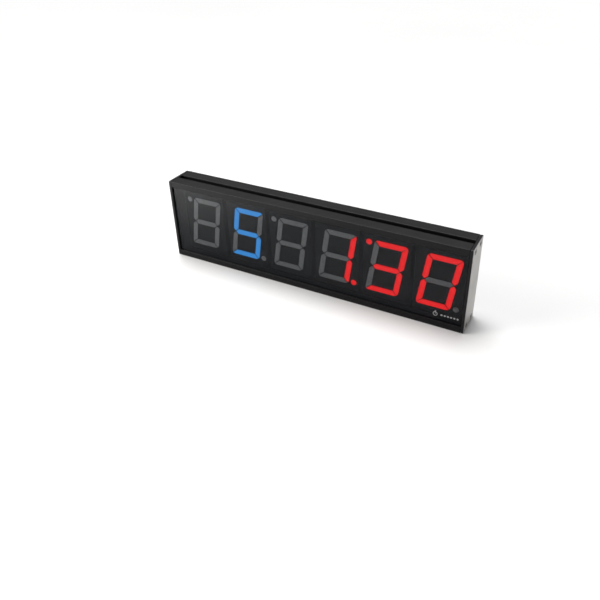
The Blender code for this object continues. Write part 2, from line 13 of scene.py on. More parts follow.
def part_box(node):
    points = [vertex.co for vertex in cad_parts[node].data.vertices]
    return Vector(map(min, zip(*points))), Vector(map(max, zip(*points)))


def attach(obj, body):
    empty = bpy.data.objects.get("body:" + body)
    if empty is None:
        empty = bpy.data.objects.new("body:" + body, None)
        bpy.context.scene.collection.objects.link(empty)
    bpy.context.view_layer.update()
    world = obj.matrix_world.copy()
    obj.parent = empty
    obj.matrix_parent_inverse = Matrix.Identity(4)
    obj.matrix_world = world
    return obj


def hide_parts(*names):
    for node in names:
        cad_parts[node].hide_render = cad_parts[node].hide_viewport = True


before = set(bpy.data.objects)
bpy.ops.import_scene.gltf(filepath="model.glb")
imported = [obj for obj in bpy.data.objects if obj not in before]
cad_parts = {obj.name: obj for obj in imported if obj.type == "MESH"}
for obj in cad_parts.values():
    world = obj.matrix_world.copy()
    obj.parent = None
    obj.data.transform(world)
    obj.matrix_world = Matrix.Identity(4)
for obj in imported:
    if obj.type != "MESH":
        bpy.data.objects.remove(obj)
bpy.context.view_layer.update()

# The case, from the frame
PLATE_LOW, PLATE_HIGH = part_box("right_end_plate")
RIGHT_X = PLATE_HIGH.x
INNER_X = PLATE_LOW.x
HALF_DEPTH = PLATE_HIGH.y
TOP_Z = PLATE_HIGH.z
MIDDLE_Z = TOP_Z / 2
PLATE = RIGHT_X - INNER_X
RAIL_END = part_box("top_rail")[1].x
GAP = INNER_X - RAIL_END
PANEL_LOW, PANEL_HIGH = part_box("front_panel")
COVER_LOW, COVER_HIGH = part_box("back_cover")
PLATE_CORNER = 0.0009
PLATE_EDGE = 0.00035
SHEET_CORNER = 0.0006
PANEL_EDGE = 0.0003
COVER_EDGE = 0.00025
# How far a cutting tool starts outside what it cuts
PAST = 0.001

# The rails' section: distances from the middle of the depth, and depths below the outer face
LIP_DEEP = 0.0065
LIP_IN = 0.0145
GROOVE_WALL = 0.0020
RAIL_WALL = 0.0018
BLOCK_OUT = 0.0109
SLOT_MOUTH = 0.00325
SLOT_HALF = 0.00525
SLOT_FLOOR = 0.0068
RAIL_DEEP = 0.0083
PORT_OUT = (SLOT_HALF + BLOCK_OUT) / 2
PORT_DEEP = 0.0050
PORT_R = 0.0015
RAIL_CORNER = 0.0004
RAIL_EDGE = 0.00015

# Screws
HEAD_R = 0.0028
SHANK_R = 0.0012
CLEAR_R = 0.0015
HEAD_DEEP = 0.0016
PLATE_SCREW = 0.0090
COVER_SCREW = 0.0075
PAN_HEAD = 0.0012
SOCKET_R = 0.0010
SOCKET_DEEP = 0.0009
SOCKET_MOUTH = 0.0001
SOCKET_CONE = 0.85
HEAD_EDGE = 0.00015
SINK_EDGE = 0.0002
PLATE_SCREW_TIP = 0.0005
COVER_SCREW_TIP = 0.0004
# The pan head's dome, as shares of its radius and its height
PAN_DOME = [(0, 1), (0.45, 0.98), (0.75, 0.84), (0.92, 0.6), (1, 0.3)]
PAN_FOOT = 0.0001
# Degrees from each screw to the next, so that no two sockets look the same
PLATE_SCREW_START = 11
PLATE_SCREW_TURN = 37
COVER_SCREW_TURN = 29

# Back cover
KEYHOLE_X = 0.100
KEYHOLE_Z = 0.056
KEYHOLE_R = 0.0045
KEYHOLE_SLOT = 0.0022
KEYHOLE_RISE = 0.0090
KEYHOLE_STEPS = 40
KEYHOLE_TOP_STEPS = 16
BEEP_HOLE_R = 0.0009
BEEP_RING = 0.0035
BEEP_HOLES = 6

# Digits. The bars run middle, top, bottom, right upper, right lower, left upper, left lower, dot.
DIGITS = 6
CHAR_W = 0.0348
CHAR_H = 0.0578
STROKE = 0.0063
CHAR_CORNER = 0.0045
SPLIT = 0.0005
SLANT = math.tan(math.radians(8.5))
DOT = (0.0185, -0.0254)
DOT_R = 0.0031
BAR_CORNER = 0.0006
FACE_WALL = 0.0012
BAR_PLATE = 0.0010
MODULE_CORNER = 0.0008
POCKET_CORNER = 0.0006
POCKET_PAST = 0.01
# A bar's clearance in its window, which is its edge too, and in the carrier sheet
BAR_CLEAR = 0.00012
SHEET_CLEAR = 0.0002
# The lit bars of each digit as the viewer sees them, and their colour
MIDDLE, TOP, BOTTOM, UPPER_RIGHT, LOWER_RIGHT, UPPER_LEFT, LOWER_LEFT, POINT = range(8)
LIT = {
    2: ("blue", {MIDDLE, TOP, BOTTOM, LOWER_RIGHT, UPPER_LEFT}),
    4: ("red", {UPPER_RIGHT, LOWER_RIGHT, POINT}),
    5: ("red", {MIDDLE, TOP, BOTTOM, UPPER_RIGHT, LOWER_RIGHT, POINT}),
    6: ("red", {TOP, BOTTOM, UPPER_RIGHT, LOWER_RIGHT, UPPER_LEFT, LOWER_LEFT}),
}

TO_RIGHT = Matrix.Rotation(math.pi / 2, 4, "Y")
TO_LEFT = Matrix.Rotation(-math.pi / 2, 4, "Y")
TO_BACK = Matrix.Rotation(-math.pi / 2, 4, "X")


# ---------------------------------------------------------------- outlines
# How far short of a bar's end its spine stops, in strokes
SPINE_SHORT = 0.6
# Corners flatter than this stay, and a round corner takes at most this share of an edge
NEARLY_STRAIGHT = math.radians(172)
CORNER_SHARE = 0.46


def turned_left(loop):
    """The outline running anticlockwise."""
    area = sum(a[0] * b[1] - b[0] * a[1] for a, b in zip(loop, loop[1:] + loop[:1]))
    return loop if area > 0 else loop[::-1]


def moved_in(loop, by):
    """A closed outline moved to its left by a distance, on mitres."""
    result = []
    for i, here in enumerate(loop):
        here = Vector(here)
        a = (here - Vector(loop[i - 1])).normalized()
        b = (Vector(loop[(i + 1) % len(loop)]) - here).normalized()
        a, b = Vector((-a.y, a.x)), Vector((-b.y, b.x))
        result.append(tuple(here + (a + b) * by / (1 + a.dot(b))))
    return result


def gathered(loop, share):
    """An outline drawn in that share of the way towards its spine."""
    points = [Vector(p) for p in loop]
    middle = sum(points, Vector((0, 0))) / len(points)
    far = max(points, key=lambda p: (p - middle).length)
    along = (far - middle).normalized()
    half = max(0, (far - middle).length - STROKE * SPINE_SHORT)
    result = []
    for point in points:
        reach = max(-half, min(half, (point - middle).dot(along)))
        result.append(tuple(point.lerp(middle + along * reach, share)))
    return result


def softened(points, radius, steps=3, closed=True):
    """The same points with each corner rounded, less where an edge is short."""
    result = []
    count = len(points)
    for i, here in enumerate(points):
        if not closed and i in (0, count - 1):
            result.append(tuple(here))
            continue
        here = Vector(here)
        to_a = Vector(points[i - 1]) - here
        to_b = Vector(points[(i + 1) % count]) - here
        turn = to_a.angle(to_b)
        if turn > NEARLY_STRAIGHT:
            result.append(tuple(here))
            continue
        reach = min(radius / math.tan(turn / 2), CORNER_SHARE * to_a.length, CORNER_SHARE * to_b.length)
        start, end = here + to_a.normalized() * reach, here + to_b.normalized() * reach
        size = reach * math.tan(turn / 2)
        centre = here + (to_a.normalized() + to_b.normalized()).normalized() * size / math.sin(turn / 2)
        first, sweep = start - centre, (start - centre).angle_signed(end - centre)
        for step in range(steps + 1):
            spin = Matrix.Rotation(-sweep * step / steps, 2)
            result.append(tuple(centre + spin @ first))
    return result


def rectangle(low, high, radius=0.0, steps=4):
    """An outline between two corners, with round corners."""
    (a, b), (c, d) = low, high
    square = [(a, b), (c, b), (c, d), (a, d)]
    return softened(square, radius, steps) if radius else square


def about(half_w, half_h, radius=0.0, middle=(0, 0), steps=4):
    """A rounded rectangle about a point."""
    x, y = middle
    return rectangle((x - half_w, y - half_h), (x + half_w, y + half_h), radius, steps)


def circle(radius, middle=(0, 0), sides=40):
    x, y = middle
    turns = [math.tau * i / sides for i in range(sides)]
    return [(x + radius * math.cos(a), y + radius * math.sin(a)) for a in turns]


# ---------------------------------------------------------------- solids
EDGE = 0.0002
SHARP_ANGLE = math.radians(50)
# Shorter edges are taken out after a cut, and a thinner ring of a lathe is a pole
MERGED = 1e-6
PLACES = {
    "x": lambda u, v, w: (w, u, v),
    "y": lambda u, v, w: (u, w, v),
    "z": lambda u, v, w: (u, v, w),
}


def prism(axis, loops, low, high, edge=EDGE, steps=3, core=0.0):
    """A closed prism along an axis of an outline and its holes, with its edges rounded.

    core draws one more ring in each end, that share of the way to the outline's spine, where the
    core attribute reaches 1.
    """
    bm = bmesh.new()
    marked = bm.verts.layers.float.new("core")
    loops = [turned_left(loops[0]), *[turned_left(hole)[::-1] for hole in loops[1:]]]
    levels = []
    for i in range(steps + 1 if edge else 1):
        turn = math.pi / 2 * i / steps
        levels.append((edge * (1 - math.sin(turn)), edge * (1 - math.cos(turn)), 0))
    if core:
        levels.insert(0, (None, 0, 1))
    rings = [(inset, low + rise, mark) for inset, rise, mark in levels]
    rings += [(inset, high - rise, mark) for inset, rise, mark in reversed(levels)]
    ends = [[], []]
    for loop in loops:
        drawn = []
        for inset, at, mark in rings:
            ring = []
            for u, v in moved_in(loop, inset) if inset is not None else gathered(loop, core):
                vert = bm.verts.new(PLACES[axis](u, v, at))
                vert[marked] = mark
                ring.append(vert)
            drawn.append(ring)
        for lower, upper in zip(drawn, drawn[1:]):
            for i, vert in enumerate(lower):
                after = (i + 1) % len(lower)
                bm.faces.new((vert, lower[after], upper[after], upper[i]))
        for end, ring in zip(ends, (drawn[0], drawn[-1])):
            for i, vert in enumerate(ring):
                end.append(bm.edges.get((vert, ring[(i + 1) % len(ring)])))
    for end in ends:
        bmesh.ops.triangle_fill(bm, use_beauty=True, use_dissolve=False, edges=end)
    return faced(bm)


def faced(bm):
    """A closed mesh with its faces turned to the outside."""
    bmesh.ops.recalc_face_normals(bm, faces=bm.faces)
    if bm.calc_volume(signed=True) < 0:
        bmesh.ops.reverse_faces(bm, faces=bm.faces)
    return bm


def lathe(profile, matrix=None, steps=48, first=0.0):
    """A solid of revolution about Z, of (radius, height) points from pole to pole.

    first turns it by that share of a step, so that a tool's corners miss the corners of what it cuts.
    """
    bm = bmesh.new()
    rings = []
    for radius, height in profile:
        turns = [math.tau * (i + first) / steps for i in range(steps if radius > MERGED else 1)]
        rings.append([bm.verts.new((radius * math.cos(a), radius * math.sin(a), height)) for a in turns])
    for upper, lower in zip(rings, rings[1:]):
        for i in range(steps):
            after = (i + 1) % steps
            corners = [upper[i % len(upper)], lower[i % len(lower)]]
            corners += [lower[after % len(lower)], upper[after % len(upper)]]
            bm.faces.new(list(dict.fromkeys(corners)))
    faced(bm)
    bm.transform(matrix or Matrix())
    return bm


def meshed(name, bm):
    """The mesh's data, in place of the bmesh."""
    mesh = bpy.data.meshes.new(name)
    bm.to_mesh(mesh)
    bm.free()
    return mesh


def joined(first, *others):
    """One mesh of several."""
    for other in others:
        mesh = meshed("joined", other)
        first.from_mesh(mesh)
        bpy.data.meshes.remove(mesh)
    return first


def in_scene(name, data):
    """A new object of that data in the scene."""
    made = bpy.data.objects.new(name, data)
    bpy.context.scene.collection.objects.link(made)
    return made


def carved(body, *tools, how="DIFFERENCE"):
    """A solid less the tools, or joined with them."""
    helpers = [in_scene("helper", meshed("helper", bm)) for bm in (body, *tools)]
    for tool in helpers[1:]:
        step = helpers[0].modifiers.new("carve", "BOOLEAN")
        step.operation = how
        step.solver = "EXACT"
        step.object = tool
    graph = bpy.context.evaluated_depsgraph_get()
    mesh = bpy.data.meshes.new_from_object(helpers[0].evaluated_get(graph))
    result = bmesh.new()
    result.from_mesh(mesh)
    bpy.data.meshes.remove(mesh)
    for helper in helpers:
        bpy.data.meshes.remove(helper.data)
    bmesh.ops.dissolve_degenerate(result, dist=MERGED, edges=result.edges)
    return result


def piece(name, bm, looks, nodes, body="case", pick=None):
    """Puts a mesh in the scene for these CAD nodes. pick chooses a face's material."""
    if pick:
        for face in bm.faces:
            face.material_index = pick(face)
    mesh = meshed(name, bm)
    for look in looks:
        mesh.materials.append(look)
    mesh.shade_smooth()
    mesh.set_sharp_from_angle(angle=SHARP_ANGLE)
    made = in_scene(name, mesh)
    even = made.modifiers.new("even", "WEIGHTED_NORMAL")
    even.keep_sharp = True
    return settle(made, nodes, body)


def settle(made, nodes, body="case"):
    """Gives a piece its body, and hides the CAD nodes it stands for."""
    if nodes:
        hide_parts(*nodes)
    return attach(made, body)


# ---------------------------------------------------------------- materials
# Paler tones for the black coats' edges: partly wear, partly a painted edge highlight
WORN_AND_HIGHLIT_ANODISED = (0.10, 0.10, 0.104)
WORN_AND_HIGHLIT_POWDER = (0.09, 0.09, 0.092)
DUST = (0.08, 0.08, 0.082)


class Look:
    """A Principled material being built: its tree, its shader and its nodes' coordinates."""

    def __init__(self, name, **sockets):
        self.material = bpy.data.materials.new(name)
        self.material.use_nodes = True
        self.tree = self.material.node_tree
        self.shader = self.tree.nodes["Principled BSDF"]
        for socket, value in sockets.items():
            self.shader.inputs[socket.replace("_", " ")].default_value = value
        self.place = self.add("TexCoord").outputs["Object"]

    def add(self, kind, inputs=None, **settings):
        node = self.tree.nodes.new("ShaderNode" + kind)
        for key, value in settings.items():
            setattr(node, key, value)
        for key, value in (inputs or {}).items():
            if isinstance(value, bpy.types.NodeSocket):
                self.tree.links.new(value, node.inputs[key])
            else:
                node.inputs[key].default_value = value
        return node

    def stretched(self, scale):
        """Coordinates scaled by a number or by three."""
        scale = (scale,) * 3 if isinstance(scale, (int, float)) else scale
        return self.add("Mapping", {"Vector": self.place, "Scale": scale}).outputs[0]

    def noise(self, scale, detail=3.0, rough=0.55, twist=0.0):
        inputs = {"Vector": self.stretched(scale), "Scale": 1.0, "Detail": detail, "Roughness": rough}
        return self.add("TexNoise", {**inputs, "Distortion": twist}).outputs[0]

    def spread(self, source, low, high, start=0.3, end=0.7):
        """A number between low and high as source goes from start to end."""
        inputs = {"Value": source, "From Min": start, "From Max": end, "To Min": low, "To Max": high}
        return self.add("MapRange", inputs).outputs[0]

    def mixed(self, source, first, second, start=0.3, end=0.7):
        """A colour from first to second as source goes from start to end."""
        inputs = {0: self.spread(source, 0, 1, start, end)}
        for slot, colour in ((6, first), (7, second)):
            inputs[slot] = (*colour, 1) if isinstance(colour, tuple) else colour
        return self.add("Mix", inputs, data_type="RGBA").outputs[2]

    def combined(self, how, first, second):
        return self.add("Math", {0: first, 1: second}, operation=how).outputs[0]

    def drive(self, socket, source):
        self.tree.links.new(source, self.shader.inputs[socket])

    def bump(self, *layers):
        """Bumps one over another, each of (height source, strength, distance)."""
        under = None
        for height, strength, distance in layers:
            inputs = {"Height": height, "Strength": strength, "Distance": distance}
            if under:
                inputs["Normal"] = under
            under = self.add("Bump", inputs).outputs[0]
        self.drive("Normal", under)

    def finished(self, tone, rough, *layers):
        """The material with its colour, its roughness and its bumps."""
        self.drive("Base Color", tone)
        self.drive("Roughness", rough)
        self.bump(*layers)
        return self.material

    def edges(self, radius, start=0.02, end=0.35):
        """About 1 along rounded edges and 0 on flats."""
        worn = self.add("Bevel", {"Radius": radius}, samples=6).outputs[0]
        flat = self.add("NewGeometry").outputs["Normal"]
        same = self.add("VectorMath", {0: worn, 1: flat}, operation="DOT_PRODUCT").outputs["Value"]
        return self.spread(same, 1, 0, 1 - end, 1 - start)


def anodised(name, along, colour, lighter, roughness=0.42, line=1.0):
    """Black anodised aluminium, drawn along an axis, paler in patches along its edges: partly wear, partly a
    painted edge highlight.
    """
    look = Look(name, IOR=1.42, Specular_IOR_Level=0.45)
    fine = tuple(30 if i == along else 9000 for i in range(3))
    broad = tuple(6 if i == along else 1400 for i in range(3))
    lines = look.noise(fine, 2)
    bands = look.noise(broad, 2)
    speck = look.noise(5200, 2)
    cloud = look.noise(38, 4)
    tone = look.mixed(look.combined("MULTIPLY", lines, bands), colour, lighter, 0.12, 0.42)
    tone = look.mixed(cloud, tone, tuple(c * 0.82 for c in lighter), 0.42, 1.1)
    # Paler patches along the rounded edges: partly wear, partly a painted edge highlight
    patches = look.spread(look.noise(900, 4), 0, 1, 0.42, 0.66)
    worn_and_highlit = look.combined("MULTIPLY", look.edges(0.0004), patches)
    tone = look.mixed(worn_and_highlit, tone, WORN_AND_HIGHLIT_ANODISED, 0.0, 1.6)
    uneven = look.combined("ADD", cloud, lines)
    rough = look.spread(uneven, roughness - 0.07, roughness + 0.09, 0.7, 1.3)
    return look.finished(tone, rough, (lines, 0.10 * line, 0.00003), (speck, 0.10, 0.00002))


def brushed(name, colour, darker, along=2):
    """Satin metal brushed along an axis, with a soft cloud of handling."""
    look = Look(name, Metallic=0.9, Anisotropic=0.35)
    fine = tuple(60 if i == along else 7000 for i in range(3))
    broad = tuple(12 if i == along else 900 for i in range(3))
    lines, bands, cloud = look.noise(fine, 3), look.noise(broad, 2), look.noise(45, 4)
    scratch = look.noise(tuple(25 if i == along else 2600 for i in range(3)), 1)
    tone = look.mixed(lines, darker, colour, 0.30, 0.66)
    tone = look.mixed(bands, tone, colour, 0.35, 1.0)
    tone = look.mixed(cloud, tone, darker, 0.52, 1.25)
    rough = look.combined("ADD", look.spread(lines, 0.0, 0.12), look.spread(cloud, 0.34, 0.46))
    return look.finished(tone, rough, (lines, 0.16, 0.00003), (scratch, 0.06, 0.00003))


def moulded(name, colour, roughness=0.5, grain=2600, bump=0.2, **sockets):
    """Moulded plastic with a fine spark texture, paler along its rounded edges: partly wear, partly a painted
    edge highlight.
    """
    look = Look(name, **sockets)
    spark, cloud = look.noise(grain, 3), look.noise(120, 4)
    paler = tuple(c * 1.35 + 0.004 for c in colour)
    tone = look.mixed(cloud, colour, paler)
    # Paler along every rounded edge: partly wear, partly a painted edge highlight
    tone = look.mixed(look.edges(0.0003), tone, tuple(c * 1.6 + 0.01 for c in colour), 0.0, 1.8)
    rough = look.spread(spark, roughness - 0.08, roughness + 0.10)
    return look.finished(tone, rough, (spark, bump, 0.00004), (cloud, 0.05, 0.0002))


def smoked_acrylic(name, colour, alpha, roughness=0.05, ior=1.49):
    """Smoked acrylic, seen through, with faint haze, wipe marks and dust."""
    look = Look(name, Alpha=alpha, IOR=ior, Specular_IOR_Level=1.0)
    haze = look.noise((14, 14, 26), 4, 0.6, 0.6)
    dust = look.noise(2400, 2, 0.7)
    wiped = look.noise((26, 26, 420), 3, 0.6)
    tone = look.mixed(haze, colour, tuple(c * 1.5 for c in colour))
    tone = look.mixed(dust, tone, DUST, 0.72, 0.95)
    polish = look.spread(haze, roughness * 0.7, roughness * 1.7)
    rough = look.combined("ADD", polish, look.spread(wiped, 0, 0.035, 0.5, 0.8))
    return look.finished(tone, rough, (look.noise((9, 9, 11), 2), 0.03, 0.0004), (dust, 0.02, 0.00002))


def diffuser(name, colour, darker):
    """An unlit bar: pale grey diffusing resin with a slight mottle, and painted shade darkening it towards
    its rim.
    """
    look = Look(name, Subsurface_Weight=0.0)
    mottle, grain = look.noise(420, 4), look.noise(4200, 2)
    core = look.add("Attribute", attribute_name="core").outputs["Fac"]
    tone = look.mixed(mottle, darker, colour)
    # Darker towards the rim: painted shade where the bar meets its window
    tone = look.mixed(core, tuple(c * 0.88 for c in darker), tone, 0.0, 0.5)
    return look.finished(tone, look.spread(grain, 0.40, 0.60), (mottle, 0.05, 0.0001), (grain, 0.08, 0.00003))


def glowing(name, base, light, bright, strength):
    """A lit bar: its colour fills the diffuser, a little paler in the middle than at its rim."""
    look = Look(name, Emission_Strength=strength)
    mottle, grain = look.noise(260, 3), look.noise(4200, 2)
    core = look.add("Attribute", attribute_name="core").outputs["Fac"]
    tone = look.mixed(core, light, bright, 0.0, 1.0)
    tone = look.mixed(mottle, tone, tuple(c * 0.9 for c in light), 0.45, 1.1)
    look.drive("Emission Color", tone)
    tone = look.mixed(mottle, base, tuple(c * 1.3 for c in base))
    return look.finished(tone, look.spread(grain, 0.42, 0.58), (grain, 0.06, 0.00003))


def powder_coated(name, colour):
    """A black textured coat on sheet metal, paler along its edges: partly wear, partly a painted edge
    highlight.
    """
    look = Look(name)
    orange, fine, cloud = look.noise(1500, 3), look.noise(5200, 2), look.noise(30, 4)
    tone = look.mixed(cloud, colour, tuple(c * 1.4 + 0.002 for c in colour))
    # Paler along every rounded edge: partly wear, partly a painted edge highlight
    tone = look.mixed(look.edges(0.0004), tone, WORN_AND_HIGHLIT_POWDER, 0.0, 1.7)
    return look.finished(tone, look.spread(cloud, 0.5, 0.64), (orange, 0.35, 0.00008), (fine, 0.2, 0.00003))


def plated(name, colour, darker, roughness=0.3, scale=900):
    """Plated or coated metal with handling marks, paler along its rounded edges: partly wear, partly a
    painted edge highlight.
    """
    look = Look(name, Metallic=0.95)
    cloud, fine = look.noise(scale / 4, 4), look.noise(scale * 4, 3)
    tone = look.mixed(cloud, colour, darker, 0.35, 0.8)
    # Paler along every rounded edge: partly wear, partly a painted edge highlight
    tone = look.mixed(look.edges(0.0002), tone, tuple(min(1, c * 2 + 0.02) for c in colour), 0.0, 1.6)
    return look.finished(tone, look.spread(fine, roughness - 0.06, roughness + 0.12), (fine, 0.12, 0.00002))


def circuit_board(name):
    """Green solder mask over fine copper tracks, with the odd pad left bare."""
    look = Look(name, Coat_Weight=0.4, Coat_Roughness=0.15)
    tracks = look.add("TexBrick", {
        "Vector": look.stretched((1, 1, 1)), "Scale": 260.0, "Mortar Size": 0.035,
        "Color1": (0, 0, 0, 1), "Color2": (0.15, 0.15, 0.15, 1), "Mortar": (1, 1, 1, 1),
    }).outputs[1]
    ground, weave = look.noise(90, 4), look.noise(1800, 2)
    tone = look.mixed(ground, (0.008, 0.050, 0.022), (0.012, 0.070, 0.032))
    tone = look.mixed(tracks, tone, (0.022, 0.115, 0.048), 0.2, 1.4)
    return look.finished(tone, look.spread(weave, 0.30, 0.45), (tracks, 0.2, 0.00003), (weave, 0.08, 0.00002))


def printed_ink(name, colour):
    look = Look(name)
    speck, cloud = look.noise(5200, 3), look.noise(600, 3)
    tone = look.mixed(cloud, colour, tuple(c * 0.8 for c in colour))
    return look.finished(tone, look.spread(speck, 0.45, 0.65), (speck, 0.1, 0.00002))


RAIL = anodised("black_anodised_rail", 0, (0.0068, 0.0068, 0.0074), (0.0145, 0.0145, 0.0152))
PLATE_EDGES = anodised("black_anodised_plate", 2, (0.0085, 0.0085, 0.0098), (0.017, 0.017, 0.0195))
SATIN = brushed("brushed_satin_plate", (0.47, 0.455, 0.435), (0.35, 0.34, 0.325))
SMOKED = smoked_acrylic("smoked_acrylic_face", (0.0045, 0.0062, 0.0088), 0.50)
SMOKED_BACK = smoked_acrylic("smoked_acrylic_back", (0.0045, 0.0062, 0.0088), 0.06)
COVER = powder_coated("powder_coated_cover", (0.014, 0.014, 0.0155))
HOUSING = moulded("digit_housing_matte", (0.0045, 0.0050, 0.0060), 0.74, 3800, 0.25)
UNLIT = diffuser("unlit_bar_resin", (0.41, 0.435, 0.45), (0.30, 0.32, 0.33))
BLUE = glowing("blue_bar_glow", (0.01, 0.03, 0.08), (0.045, 0.40, 1.05), (0.062, 0.46, 1.22), 1.0)
RED = glowing("red_bar_glow", (0.06, 0.006, 0.006), (1.32, 0.010, 0.013), (1.55, 0.018, 0.022), 1.0)
BLACK_SCREW = plated("black_oxide_screw", (0.020, 0.020, 0.022), (0.045, 0.045, 0.048), 0.34)
PLASTIC = moulded("black_moulded_plastic", (0.014, 0.014, 0.015), 0.46)
ROCKER = moulded("black_rocker_plastic", (0.017, 0.017, 0.018), 0.38, 3400, 0.15)
CHIP = moulded("black_chip_resin", (0.016, 0.016, 0.017), 0.62, 3000, 0.3)
NYLON = moulded("header_nylon", (0.020, 0.020, 0.021), 0.45, 2200, 0.15)
BOARD = circuit_board("green_circuit_board")
TINNED = plated("tinned_can", (0.52, 0.53, 0.55), (0.40, 0.41, 0.43), 0.3)
BRASS = plated("plated_brass", (0.62, 0.50, 0.24), (0.50, 0.39, 0.18), 0.25)
STEEL = plated("zinc_steel", (0.44, 0.44, 0.46), (0.33, 0.33, 0.35), 0.35)
RED_WIRE = moulded("red_wire_insulation", (0.42, 0.02, 0.018), 0.42, 1800, 0.1)
BLACK_WIRE = moulded("black_wire_insulation", (0.016, 0.016, 0.017), 0.42, 1800, 0.1)
INK = printed_ink("grey_print_ink", (0.42, 0.42, 0.43))
BLACK_INK = printed_ink("black_mask_ink", (0.006, 0.006, 0.007))
WHITE_INK = printed_ink("white_print_ink", (0.40, 0.46, 0.46))


# ---------------------------------------------------------------- the case
def port_places():
    """Y and Z of the four screws in an end plate."""
    return [(side * PORT_OUT, z) for side in (-1, 1) for z in (PORT_DEEP, TOP_Z - PORT_DEEP)]


def make_rail(name, outer, inward):
    half = [
        (SLOT_HALF, SLOT_FLOOR), (SLOT_HALF, RAIL_WALL), (SLOT_MOUTH, RAIL_WALL), (SLOT_MOUTH, 0),
        (HALF_DEPTH, 0), (HALF_DEPTH, LIP_DEEP), (LIP_IN, LIP_DEEP), (LIP_IN, GROOVE_WALL),
        (BLOCK_OUT, GROOVE_WALL), (BLOCK_OUT, RAIL_DEEP),
    ]
    whole = half + [(-across, down) for across, down in reversed(half)]
    outline = softened([(y, outer + inward * down) for y, down in whole], RAIL_CORNER, 4)
    ports = [circle(PORT_R, (side * PORT_OUT, outer + inward * PORT_DEEP), 28) for side in (-1, 1)]
    piece(name, prism("x", [outline, *ports], -RAIL_END, RAIL_END, RAIL_EDGE, 2), [RAIL], [name])


def outward(side, y, z):
    """A frame on an end plate's outer face whose Z leaves the case."""
    return Matrix.Translation((side * RIGHT_X, y, z)) @ (TO_RIGHT if side > 0 else TO_LEFT)


JACK_LOW, JACK_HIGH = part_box("dc_jack_body")
SWITCH_LOW, SWITCH_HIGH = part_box("power_switch_body")
BUTTON_LOW, BUTTON_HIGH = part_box("pair_button")
INLET_Y = (JACK_LOW.y + JACK_HIGH.y) / 2
INLET_OUT = -INNER_X + GAP
FLUSH_X = JACK_LOW.x
INLET_IN = JACK_HIGH.x
JACK_Z = (JACK_LOW.z + JACK_HIGH.z) / 2
JACK_R = 0.0039
JACK_CORNER = 0.0005
JACK_EDGE = 0.00025
JACK_BORE = 0.0029
JACK_CHAMFER = 0.0004
JACK_FLOOR = -0.1560
JACK_PIN = 0.0010
SEAT_PAST = 0.0001
SEAT_DEEP = 0.02
# The pin's rounded tip: shares of its radius, and distances back from its end
PIN_TIP = [(0, 0), (0.55, 0.00004), (0.9, 0.0003), (1, 0.0007)]
PIN_SPLIT = (0.0002, 0.0013)
PIN_SPLIT_DEEP = 0.0028
# The sprung leaf's line: distances in from the jack's mouth, and heights over the bore's floor
LEAF = [(0.0022, 0), (0.0036, 0.00055), (0.0060, 0.00035)]
LEAF_THICK = 0.0002
LEAF_LIFT = 0.0001
LEAF_HALF = 0.0007
LEAF_EDGE = 0.00005

SWITCH_Z = (SWITCH_LOW.z + SWITCH_HIGH.z) / 2
SWITCH_CORNER = 0.0006
SWITCH_EDGE = 0.00025
NOSE_HALF = (0.0034, 0.0062)
WELL_HALF = (0.0025, 0.0053)
WELL_CORNER = 0.0003
WELL_RIM = 0.0002
WELL_RIM_CORNER = 0.0004
ROCKER_X = -0.1612
WELL_FLOOR = ROCKER_X + 0.0040
BEARING_R = 0.0010
BEARING_HALF = 0.0031
ROCKER_HALF = 0.0046
# The rocker's face from one end to the middle: how far it stands out, and how far along it is
ROCKER_FACE = [(0.0026, ROCKER_HALF), (0.00215, 0.0022), (0.0019, 0.0008)]
ROCKER_SHOULDER = 0.0006
ROCKER_KEEL = 0.0026
ROCKER_WIDE = 0.0022
ROCKER_CORNER = 0.0003
ROCKER_EDGE = 0.00025
ROCKER_TILT = math.radians(8.0)
AXLE_R = 0.0009
AXLE_HALF = 0.0029
AXLE_EDGE = 0.0001
# The two marks on the rocker: an upright stroke and a ring
MARK_OUT = 0.00236
MARK_Z = 0.0033
MARK_STROKE = (0.00016, 0.00075)
MARK_CORNER = 0.0001
MARK_RING = (0.00075, 0.00048)
MARK_SUNK = 0.00003
MARK_PROUD = 0.00006

BUTTON_Z = (BUTTON_LOW.z + BUTTON_HIGH.z) / 2
BUTTON_R = 0.0017
BUTTON_TALL = 0.0033
BUTTON_FLANGE_R = 0.0024
BUTTON_FLANGE = 0.0008
BUTTON_STEM_R = 0.0010
BUTTON_STEM = 0.0060
# The button's dished face, as shares of its radius and depths below its rim
BUTTON_DISH = [(0, 0.00025), (0.45, 0.0002), (0.75, 0.00003)]
# Its rim: distances in from its wall and below its top
BUTTON_RIM = [(0.0002, 0), (0.00005, 0.00006), (0, 0.0002)]
WINDOW_CORNER = 0.0006


def make_end_plate(name, side):
    outline = about(HALF_DEPTH, MIDDLE_Z, PLATE_CORNER, (0, MIDDLE_Z), 6)
    holes = []
    if side < 0:
        holes.append(circle(JACK_R + GAP, (INLET_Y, JACK_Z), 64))
        window = (NOSE_HALF[0] + GAP, NOSE_HALF[1] + GAP)
        holes.append(about(*window, WINDOW_CORNER, (INLET_Y, SWITCH_Z), 5))
        holes.append(circle(BUTTON_R + GAP, (INLET_Y, BUTTON_Z), 40))
    low, high = sorted((side * INNER_X, side * RIGHT_X))
    plate = prism("x", [outline, *holes], low, high, PLATE_EDGE)
    rim = HEAD_R + GAP
    profile = [(0, PLATE), (rim + SINK_EDGE, PLATE), (rim + SINK_EDGE, 0), (rim, -SINK_EDGE)]
    profile += [(CLEAR_R, -HEAD_DEEP), (CLEAR_R, -2 * PLATE), (0, -2 * PLATE)]
    sinks = [lathe(profile, outward(side, y, z), 56) for y, z in port_places()]
    plate = carved(plate, *sinks)
    piece(name, plate, [SATIN, PLATE_EDGES], [name], pick=lambda f: int(f.normal.x * side < 0.2))


